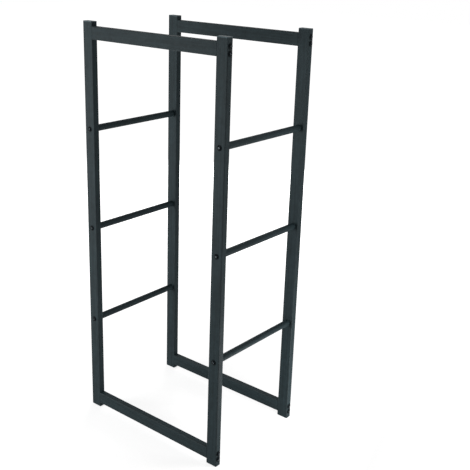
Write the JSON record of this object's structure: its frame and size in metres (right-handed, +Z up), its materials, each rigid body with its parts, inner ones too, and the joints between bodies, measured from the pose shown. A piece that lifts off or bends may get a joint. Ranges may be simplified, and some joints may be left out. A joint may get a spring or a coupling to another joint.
{
  "type": "firewood rack",
  "caption": "Tall narrow log rack of bolted steel tube: front and rear rectangular frames joined by round cross-bars on each side, open for logs laid front to back.",
  "frame": {"origin": "on the floor under the middle of the rack", "axes": "+Z up along the uprights, +X to the right across the width, +Y from the front frame to the rear"},
  "size_m": [0.438, 0.309, 1],
  "materials": {
    "powder_coat": "anthracite powder coat, fine satin texture",
    "black_bolts": "black-oxide steel, lightly oiled",
    "zinc_inserts": "bright zinc plate",
    "end_plug_plastic": "moulded plastic, fine matt grain"
  },
  "bodies": {
    "root": {"upright_front_left": "powder_coat", "top_cap_front_left": "end_plug_plastic", "foot_front_left": "end_plug_plastic", "rail_bolts_front_left": "black_bolts", "crossbar_bolts_front_left": "black_bolts", "upright_front_right": "powder_coat", "top_cap_front_right": "end_plug_plastic", "foot_front_right": "end_plug_plastic", "rail_bolts_front_right": "black_bolts", "crossbar_bolts_front_right": "black_bolts", "rail_front_bottom": "powder_coat", "rail_nut_block_front_bottom_left": "zinc_inserts", "rail_nut_block_front_bottom_right": "zinc_inserts", "rail_front_top": "powder_coat", "rail_nut_block_front_top_left": "zinc_inserts", "rail_nut_block_front_top_right": "zinc_inserts", "upright_rear_left": "powder_coat", "top_cap_rear_left": "end_plug_plastic", "foot_rear_left": "end_plug_plastic", "rail_bolts_rear_left": "black_bolts", "crossbar_bolts_rear_left": "black_bolts", "upright_rear_right": "powder_coat", "top_cap_rear_right": "end_plug_plastic", "foot_rear_right": "end_plug_plastic", "rail_bolts_rear_right": "black_bolts", "crossbar_bolts_rear_right": "black_bolts", "rail_rear_bottom": "powder_coat", "rail_nut_block_rear_bottom_left": "zinc_inserts", "rail_nut_block_rear_bottom_right": "zinc_inserts", "rail_rear_top": "powder_coat", "rail_nut_block_rear_top_left": "zinc_inserts", "rail_nut_block_rear_top_right": "zinc_inserts", "crossbar_left_low": "powder_coat", "crossbar_nut_plug_left_low_front": "zinc_inserts", "crossbar_nut_plug_left_low_rear": "zinc_inserts", "crossbar_left_middle": "powder_coat", "crossbar_nut_plug_left_middle_front": "zinc_inserts", "crossbar_nut_plug_left_middle_rear": "zinc_inserts", "crossbar_left_high": "powder_coat", "crossbar_nut_plug_left_high_front": "zinc_inserts", "crossbar_nut_plug_left_high_rear": "zinc_inserts", "crossbar_right_low": "powder_coat", "crossbar_nut_plug_right_low_front": "zinc_inserts", "crossbar_nut_plug_right_low_rear": "zinc_inserts", "crossbar_right_middle": "powder_coat", "crossbar_nut_plug_right_middle_front": "zinc_inserts", "crossbar_nut_plug_right_middle_rear": "zinc_inserts", "crossbar_right_high": "powder_coat", "crossbar_nut_plug_right_high_front": "zinc_inserts", "crossbar_nut_plug_right_high_rear": "zinc_inserts"}
  },
  "joints": []
}
